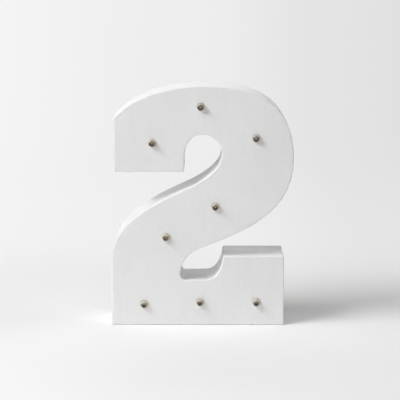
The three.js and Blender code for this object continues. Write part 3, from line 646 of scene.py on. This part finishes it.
# Shape of a lamp: a solid epoxy dome on a flange
LED_RADIUS = 2.5 * MM
FLANGE_RADIUS = 2.9 * MM
FLANGE_THICKNESS = 1.0 * MM
RIM_ROUND = 0.12 * MM
DOME_STEPS = 12


def led_profile(tip):
    """Radius and reach ahead of a LED's outside, from the middle of its back to its tip."""
    seat = FLANGE_THICKNESS
    shoulder = tip - LED_RADIUS
    profile = [
        (0, 0),
        (FLANGE_RADIUS - RIM_ROUND, 0),
        (FLANGE_RADIUS, RIM_ROUND),
        (FLANGE_RADIUS, seat - RIM_ROUND),
        (FLANGE_RADIUS - RIM_ROUND, seat),
        (LED_RADIUS, seat),
        (LED_RADIUS, seat + RIM_ROUND),
        (LED_RADIUS, shoulder),
    ]
    for step in range(1, DOME_STEPS):
        angle = math.pi / 2 * step / DOME_STEPS
        profile.append((LED_RADIUS * math.cos(angle), shoulder + LED_RADIUS * math.sin(angle)))
    return profile + [(0, tip)]


# Epoxy of a lamp: a clear core, wider in the lamps higher up, whose axis stands a little aside and
# lower, and a milky haze outside it, part of which lets light through. The clear core shows the dark
# inside, so both are painted shade: the higher lamps are darker, and each lamp is darker low and left
PAINTED_SHADE_CORE_AT_TOP = 1.55 * MM
PAINTED_SHADE_CORE_AT_BOTTOM = 1.2 * MM
PAINTED_SHADE_CORE_ASIDE = 0.2 * MM
PAINTED_SHADE_CORE_LOWER = 0.2 * MM
HAZE_WIDTH = 0.8 * MM
HAZE_IN_CORE = 0.02
HAZE_OUTSIDE = 0.8
HAZE_THROUGH = 0.25
EPOXY_DARK = screen(170, 154, 130)
EPOXY_PALE = screen(188, 172, 148)
MILK_DARK = screen(222, 213, 196)
MILK_PALE = screen(238, 232, 218)
EPOXY_ROUGHNESS = (0.03, 0.07)
EPOXY_RELIEF = 0.02 * MM

# Light that a lamp lets into its shadow, in the middle of the lens and from a slant on towards its rim
PASSED_IN_MIDDLE = screen(52, 47, 40)
PASSED_AT_RIM = screen(24, 21, 18)
RIM_SLANT = 0.75


def epoxy(number):
    """Clear cast epoxy, a little warm, and milky towards its outside, where it shows the white around
    it. Its shadow is lightest in the middle, as a lens's is."""
    m = Look(f"clear_epoxy_{number}")
    ripple = m.noise(per_metre=700, detail=2)
    glass = m.add(
        "ShaderNodeBsdfPrincipled",
        {
            "Base Color": m.between(ripple, EPOXY_DARK, EPOXY_PALE),
            "Roughness": m.levels(ripple, NOISE_SPAN, EPOXY_ROUGHNESS),
            "IOR": 1.53,
            "Transmission Weight": 1.0,
            "Normal": m.bump(ripple, EPOXY_RELIEF, strength=0.3),
        },
    )
    milk = m.between(ripple, MILK_DARK, MILK_PALE)
    lit = m.add("ShaderNodeBsdfDiffuse", {"Color": milk})
    through = m.add("ShaderNodeBsdfTranslucent", {"Color": milk})
    haze = m.mix_shaders(HAZE_THROUGH, lit.outputs["BSDF"], through.outputs["BSDF"])
    axis = lamp_place(number)
    # Painted shade: the clear, dark core is moved low and left, and is wider the higher the lamp stands
    off_core = m.off_axis((axis.x - PAINTED_SHADE_CORE_ASIDE, 0, axis.z - PAINTED_SHADE_CORE_LOWER), ACROSS_Y)
    core = PAINTED_SHADE_CORE_AT_BOTTOM + (PAINTED_SHADE_CORE_AT_TOP - PAINTED_SHADE_CORE_AT_BOTTOM) * axis.z / cad_high.z
    milky = m.levels(off_core, (core, core + HAZE_WIDTH), (HAZE_IN_CORE, HAZE_OUTSIDE))
    hazy = m.mix_shaders(milky, glass.outputs["BSDF"], haze)
    slant = m.add("ShaderNodeLayerWeight", {"Blend": 0.5}).outputs["Facing"]
    passed = m.ramp(slant, [(0.0, PASSED_IN_MIDDLE), (RIM_SLANT, PASSED_AT_RIM)])
    clear = m.add("ShaderNodeBsdfTransparent", {"Color": passed})
    shadow = m.add("ShaderNodeLightPath").outputs["Is Shadow Ray"]
    m.end_in(m.mix_shaders(shadow, hazy, clear.outputs["BSDF"]))
    return m.material


for number in range(1, LED_COUNT + 1):
    lens_name = f"led_lens_{number}"
    back = lamp_place(number)
    profile = led_profile(back.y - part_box(lens_name)[0].y)
    dome = filled_mesh(f"led_dome_{number}", lambda bm: turn_about(bm, back, FORWARDS, profile))
    new_piece(f"led_dome_{number}", dome, epoxy(number), lens_name)


# Screws: a domed head with a driver cross on a threaded shank. The heads' heights go by the names
SCREW_HEADS = {
    "_back_screw": 1.3 * MM,
    "_tray_screw": 1.1 * MM,
    "_switch_screw": 1.1 * MM,
    "_hanger_screw": 1.1 * MM,
}
SCREW_TIP = 1.8 * MM
THREAD_PITCH = 0.8 * MM
THREAD_DEPTH = 0.14 * MM
HEAD_ROUND = 0.15 * MM
HEAD_STEPS = 8
HEAD_FULLNESS = 0.8

# Shares of the head's height: its upright edge, and how far the cross reaches down into it
HEAD_EDGE_SHARE = 0.38
CROSS_DEPTH_SHARE = 0.72

# Shares of the head's diameter: the shank's radius, and the reach and half the width of the cross's arms
SHANK_SHARE = 0.24
CROSS_ARM_SHARE = 0.34
CROSS_WIDTH_SHARE = 0.1

# The cross's size at its floor, as a share of its size level with the head's top, and the radians that
# a cross is turned by for each place of its screw in the list of names
CROSS_FLOOR_SHARE = 0.45
CROSS_TURN = 1.7


def screw_profile(radius, head_height, length):
    """A screw about its own axis, from its tip below zero to the top of its head."""
    shank = 2 * SHANK_SHARE * radius
    profile = [(0, -length), (shank - THREAD_DEPTH, SCREW_TIP - length)]
    turns = int((length - SCREW_TIP) / THREAD_PITCH)
    for turn in range(turns):
        foot = SCREW_TIP - length + turn * THREAD_PITCH
        profile.append((shank, foot + THREAD_PITCH / 2))
        profile.append((shank - THREAD_DEPTH, foot + THREAD_PITCH))
    edge = HEAD_EDGE_SHARE * head_height
    profile += [
        (shank - THREAD_DEPTH, 0),
        (radius - HEAD_ROUND, 0),
        (radius, HEAD_ROUND),
        (radius, edge),
    ]
    for step in range(1, HEAD_STEPS):
        angle = math.pi / 2 * step / HEAD_STEPS
        rise = (head_height - edge) * math.sin(angle)
        profile.append((radius * math.cos(angle) ** HEAD_FULLNESS, edge + rise))
    return profile + [(0, head_height)]


def cross_cutter(bm, top, axis, radius, depth, roll):
    """A driver cross that narrows downwards, from a depth above the head's top to a depth below it."""
    axis = Vector(axis).normalized()
    first = axis.orthogonal().normalized()
    second = axis.cross(first)
    across = first * math.cos(roll) + second * math.sin(roll)
    along = axis.cross(across)
    arm = CROSS_ARM_SHARE * radius * 2
    half = CROSS_WIDTH_SHARE * radius * 2
    outline = [
        (arm, -half), (arm, half), (half, half), (half, arm), (-half, arm), (-half, half),
        (-arm, half), (-arm, -half), (-half, -half), (-half, -arm), (half, -arm), (half, -half),
    ]
    rings = []
    for height, scale in ((depth, 1.0 + (1.0 - CROSS_FLOOR_SHARE)), (-depth, CROSS_FLOOR_SHARE)):
        rings.append([
            bm.verts.new(top + axis * height + (across * u + along * v) * scale)
            for u, v in outline
        ])
    upper, lower = rings
    bm.faces.new(upper)
    bm.faces.new(list(reversed(lower)))
    for index in range(len(outline)):
        following = (index + 1) % len(outline)
        bm.faces.new((upper[index], lower[index], lower[following], upper[following]))


def cut(mesh, cutter_mesh):
    """The first mesh with the second cut out of it."""
    target = bpy.data.objects.new("cut_target", mesh)
    cutter = bpy.data.objects.new("cut_tool", cutter_mesh)
    for obj in (target, cutter):
        bpy.context.scene.collection.objects.link(obj)
    cutting = target.modifiers.new("cut", "BOOLEAN")
    cutting.object = cutter
    cutting.solver = "EXACT"
    bpy.context.view_layer.update()
    graph = bpy.context.evaluated_depsgraph_get()
    result = bpy.data.meshes.new_from_object(target.evaluated_get(graph))
    for obj in (target, cutter):
        bpy.data.objects.remove(obj)
    return result


for number, node_name in enumerate(sorted(nodes)):
    kind = next((ending for ending in SCREW_HEADS if node_name.endswith(ending)), None)
    if kind is None:
        continue
    low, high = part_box(node_name)
    head_height = SCREW_HEADS[kind]
    depth = CROSS_DEPTH_SHARE * head_height
    radius = (high.x - low.x) / 2
    seat = Vector(((low.x + high.x) / 2, high.y - head_height, (low.z + high.z) / 2))
    top = Vector((seat.x, high.y, seat.z))
    profile = screw_profile(radius, head_height, seat.y - low.y)
    body = filled_mesh(node_name, lambda bm: turn_about(bm, seat, BACKWARDS, profile))
    cross = filled_mesh(
        "driver_cross",
        lambda bm: cross_cutter(bm, top, BACKWARDS, radius, depth, CROSS_TURN * number),
    )
    new_piece(f"{node_name}_driven", cut(body, cross), STEEL, node_name)


# Shape of a cell: a sleeve whose ends lip over the steel can, and the positive nub on a low step
CELL_SIDES = 64
CELL_LIP = 0.15 * MM
CELL_ROUND = 0.5 * MM
CELL_CHAMFER = 0.3 * CELL_ROUND
NUB_RADIUS = 1.9 * MM
NUB_LENGTH = 0.9 * MM
NUB_ROUND = 0.25 * MM

# Shares of the cell's radius: where the sleeve ends, how wide its edge fades, and the step's foot and top
CELL_SLEEVE_SHARE = 0.82
SLEEVE_FADE_SHARE = 0.03
STEP_FOOT_SHARE = 0.55
STEP_TOP_SHARE = 0.52

# The printed rings, in shares of the cell's length from its negative end
CELL_RINGS = ((0.06, 0.072), (0.80, 0.84))
RING_COLOUR = screen(188, 190, 190)
SLEEVE_DARK = screen(64, 70, 78)
SLEEVE_PALE = screen(72, 79, 88)
SCUFF_COLOUR = screen(150, 152, 154)
SCUFF_SPAN = (0.64, 0.74)
SCUFF_SHARE = 0.3
CAN_DARK = screen(176, 178, 180)
CAN_PALE = screen(206, 208, 210)
CELL_ROUGHNESS = (0.24, 0.34)
CELL_RELIEF = 0.004 * MM


def cell_profile(radius, length):
    """A cell from its negative end up, as radius and height."""
    shoulder = length - NUB_LENGTH
    sleeve = CELL_SLEEVE_SHARE * radius
    return [
        (0, CELL_LIP),
        (sleeve - CELL_LIP, CELL_LIP),
        (sleeve, 0),
        (radius - CELL_ROUND, 0),
        (radius - CELL_CHAMFER, CELL_CHAMFER),
        (radius, CELL_ROUND),
        (radius, shoulder - CELL_ROUND),
        (radius - CELL_CHAMFER, shoulder - CELL_CHAMFER),
        (radius - CELL_ROUND, shoulder),
        (sleeve, shoulder),
        (sleeve - CELL_LIP, shoulder - CELL_LIP),
        (STEP_FOOT_SHARE * radius, shoulder - CELL_LIP),
        (STEP_TOP_SHARE * radius, shoulder),
        (NUB_RADIUS + NUB_ROUND, shoulder),
        (NUB_RADIUS, shoulder + NUB_ROUND),
        (NUB_RADIUS, length - NUB_ROUND),
        (NUB_RADIUS - NUB_ROUND, length),
        (0, length),
    ]


def cell_jacket(name, axis_place, radius, negative_end, positive_end):
    """A plain cell: a slate grey sleeve with two pale rings, and bare steel at both ends."""
    m = Look(name)
    share = m.along("Z", negative_end, positive_end)
    off = m.off_axis(axis_place, ACROSS_Z)
    fine = m.noise(per_metre=2600, detail=3)
    scuffs = m.levels(m.noise(per_metre=300, detail=6, stretch=(1, 1, 0.3), shift=(1, 7, 2)), SCUFF_SPAN)
    sleeve = m.ramp(m.noise(per_metre=60, detail=3), [(0.3, SLEEVE_DARK), (0.7, SLEEVE_PALE)])
    stops = [(0.0, OFF)]
    for start, end in CELL_RINGS:
        stops += [(start, ON), (end, OFF)]
    colour = m.mix(m.ramp(share, stops, "CONSTANT"), sleeve, RING_COLOUR)
    colour = m.mix(m.math("MULTIPLY", scuffs, SCUFF_SHARE), colour, SCUFF_COLOUR)
    sleeve_end = CELL_SLEEVE_SHARE * radius
    bare = m.levels(off, (sleeve_end, (CELL_SLEEVE_SHARE - SLEEVE_FADE_SHARE) * radius))
    steel = m.ramp(m.noise(per_metre=150, detail=4), [(0.3, CAN_DARK), (0.7, CAN_PALE)])
    return m.finish(
        Base_Color=m.mix(bare, colour, steel),
        Metallic=bare,
        Roughness=m.levels(fine, NOISE_SPAN, CELL_ROUGHNESS),
        Normal=m.bump(fine, CELL_RELIEF, strength=0.3),
    )


for node_name, upward in (("left_cell", 1), ("right_cell", -1)):
    low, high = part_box(node_name)
    radius = (high.x - low.x) / 2
    ends = (low.z, high.z) if upward > 0 else (high.z, low.z)
    foot = Vector(((low.x + high.x) / 2, (low.y + high.y) / 2, ends[0]))
    jacket = cell_jacket(f"{node_name}_jacket", (foot.x, foot.y, 0), radius, *ends)
    profile = cell_profile(radius, high.z - low.z)
    cell = filled_mesh(
        f"{node_name}_sleeved",
        lambda bm: turn_about(bm, foot, (0, 0, upward), profile, CELL_SIDES),
    )
    new_piece(f"{node_name}_sleeved", cell, jacket, node_name, CELL_EDGE)


# Studio: a pale floor that curves up into a backdrop
SWEEP_FRONT = -3.0
SWEEP_BEND = 0.9
SWEEP_RADIUS = 0.35
SWEEP_TOP = 2.5
SWEEP_HALF_WIDTH = 3.0
BEND_STEPS = 24

# Paper: up to PAPER_LIT from the origin, and not behind the object, it is only lit. From PAPER_EVEN on,
# and from BEHIND_FULLY on behind the object, it is seen at set levels, up to PAPER_SHARE of its look
PAPER_LIT = 0.22
PAPER_EVEN = 0.5
PAPER_SHARE = 0.98
# Painted light: between these two places behind the object, the set levels fade in over the far part of its
# shadow
BEHIND_FROM = 0.0
BEHIND_FULLY = 0.32

# Light that the paper sends back: clouded near the object, and little far out, where it would
# otherwise light the object
PAPER_CLOUDS_PER_METRE = 3.0
PAPER_DARK = grey(0.9)
PAPER_PALE = grey(0.91)
FAR_PAPER = grey(0.3)
FAR_PAPER_FROM = 1.6 * PAPER_EVEN

# Levels of the paper behind the object from left to right, by X, and the level that they all go over
# to further out. These levels are painted light and shade: paler on the left and darker on the right,
# where the lamps' light falls off
PAINTED_LIGHT_AND_SHADE_LEVELS = ((-1.4, 240), (-0.35, 247), (0.0, 239), (0.16, 229), (0.35, 222), (1.0, 240))
LEVELS_REACH = 1.4
BACKDROP = screen(239, 239, 239)
BACKDROP_FROM = 2 * PAPER_EVEN


def sweep_mesh(bm):
    """One strip of faces: the floor, the bend and the backdrop."""
    line = [(SWEEP_FRONT, 0), (SWEEP_BEND, 0)]
    for step in range(1, BEND_STEPS + 1):
        angle = math.pi / 2 * step / BEND_STEPS
        line.append((
            SWEEP_BEND + SWEEP_RADIUS * math.sin(angle),
            SWEEP_RADIUS * (1 - math.cos(angle)),
        ))
    line.append((SWEEP_BEND + SWEEP_RADIUS, SWEEP_TOP))
    rows = [
        [bm.verts.new((side * SWEEP_HALF_WIDTH, y, z)) for side in (-1, 1)]
        for y, z in line
    ]
    for near, far in zip(rows, rows[1:]):
        bm.faces.new((near[0], near[1], far[1], far[0]))


def studio_paper():
    """Pale paper that is lit near the object, where it holds the shadow. Behind the object and far out
    it is seen at set levels, straight, in gloss and through glass, and far out it sends on little light.
    The set levels are painted light and shade, paler on the left and darker on the right, and behind
    the object they lay painted light over the far part of its shadow."""
    m = Look("studio_paper")
    clouds = m.noise(PAPER_CLOUDS_PER_METRE, detail=2)
    near_paper = m.ramp(clouds, [(0.3, PAPER_DARK), (0.7, PAPER_PALE)])
    away = m.add("ShaderNodeVectorMath", {0: m.coords}, operation="LENGTH").outputs["Value"]
    far_out = m.levels(away, (PAPER_EVEN, FAR_PAPER_FROM))
    paper = m.add("ShaderNodeBsdfDiffuse", {"Color": m.mix(far_out, near_paper, FAR_PAPER)})
    stops = [
        ((x + LEVELS_REACH) / (2 * LEVELS_REACH), screen(level, level, level))
        for x, level in PAINTED_LIGHT_AND_SHADE_LEVELS
    ]
    # Painted light and shade: the levels are paler on the left and darker on the right
    level = m.ramp(m.along("X", -LEVELS_REACH, LEVELS_REACH), stops)
    level = m.mix(m.levels(away, (BACKDROP_FROM, SWEEP_HALF_WIDTH)), level, BACKDROP)
    painted_paper_light = m.add("ShaderNodeEmission", {"Color": level, "Strength": 1.0})
    # Painted light: behind the object the set levels go over the far part of its shadow
    behind = m.levels(m.place("Y"), (BEHIND_FROM, BEHIND_FULLY))
    even = m.math("MAXIMUM", behind, m.levels(away, (PAPER_LIT, PAPER_EVEN)))
    share = m.math("MULTIPLY", m.math("MULTIPLY", m.seen_rays(), even), PAPER_SHARE)
    m.end_in(m.mix_shaders(share, paper.outputs["BSDF"], painted_paper_light.outputs["Emission"]))
    return m.material


sweep = bpy.data.objects.new("studio_sweep", bpy.data.meshes.new("studio_sweep"))
sweep_bm = bmesh.new()
sweep_mesh(sweep_bm)
sweep_bm.to_mesh(sweep.data)
sweep_bm.free()
for sweep_face in sweep.data.polygons:
    sweep_face.use_smooth = True
bpy.context.scene.collection.objects.link(sweep)
sweep.data.materials.append(studio_paper())

# Lamps of the studio. Height and turn are in degrees, the turn from the object's left towards the
# viewer, and distance, width and tall are in metres
LIGHTS = {
    "key_light": {"height": 39, "turn": 30, "distance": 1.6, "width": 1.02, "tall": 0.45, "watts": 19.6},
    "left_light": {"height": 52, "turn": -5, "distance": 1.6, "width": 0.7, "tall": 0.7, "watts": 0.3},
    "over_light": {"height": 78, "turn": 60, "distance": 1.5, "width": 0.9, "tall": 0.9, "watts": 5.5},
    "right_light": {"height": 25, "turn": 180, "distance": 1.5, "width": 1.2, "tall": 1.0, "watts": 6.4},
    "back_light": {"height": 35, "turn": -90, "distance": 1.5, "width": 1.2, "tall": 0.8, "watts": 5.4},
    "low_light": {"height": 4, "turn": 65, "distance": 0.6, "width": 0.4, "tall": 0.15, "watts": 0.31},
}
LIGHT_TARGET = Vector((0, 0, 70)) * MM


def area_light(name, height, turn, distance, width, tall, watts):
    """A lamp with a soft rectangular face, aimed at the middle of the object."""
    lamp = bpy.data.lights.new(name, "AREA")
    lamp.shape = "RECTANGLE"
    lamp.size = width
    lamp.size_y = tall
    lamp.energy = watts
    height = math.radians(height)
    turn = math.radians(turn)
    level = Vector((-math.cos(turn), -math.sin(turn), 0)) * math.cos(height)
    towards = level + Vector((0, 0, math.sin(height)))
    obj = bpy.data.objects.new(name, lamp)
    obj.location = LIGHT_TARGET + towards * distance
    obj.rotation_mode = "QUATERNION"
    obj.rotation_quaternion = (-towards).to_track_quat("-Z", "Y")
    bpy.context.scene.collection.objects.link(obj)


for light_name, settings in LIGHTS.items():
    area_light(light_name, **settings)

# Surround: a faint even light, seen as the backdrop
SURROUND = 0.02

world = bpy.data.worlds.new("surround")
bpy.context.scene.world = world
around = Nodes(world, "ShaderNodeOutputWorld")
surround = around.add("ShaderNodeBackground", {"Color": grey(1.0), "Strength": SURROUND})
plain = around.add("ShaderNodeBackground", {"Color": BACKDROP})
around.end_in(
    around.mix_shaders(around.seen_rays(), surround.outputs["Background"], plain.outputs["Background"])
)

# Camera, at the place found from the photograph's perspective
LENS_MM = 158.85
CAMERA_PITCH = math.radians(8.5)
CAMERA_TARGET = Vector((-1.53, 1.85, 81.46)) * MM
CAMERA_DISTANCE = 1190.1 * MM
CAMERA_NEAR = 0.05
CAMERA_FAR = 50

camera = bpy.data.objects.new("camera", bpy.data.cameras.new("camera"))
camera.data.lens = LENS_MM
camera.data.clip_start = CAMERA_NEAR
camera.data.clip_end = CAMERA_FAR
camera_back = Vector((0, -math.cos(CAMERA_PITCH), math.sin(CAMERA_PITCH)))
camera.location = CAMERA_TARGET + camera_back * CAMERA_DISTANCE
camera.rotation_mode = "QUATERNION"
camera.rotation_quaternion = (-camera_back).to_track_quat("-Z", "Y")
bpy.context.scene.collection.objects.link(camera)
bpy.context.scene.camera = camera

bpy.context.scene.view_settings.view_transform = "Standard"
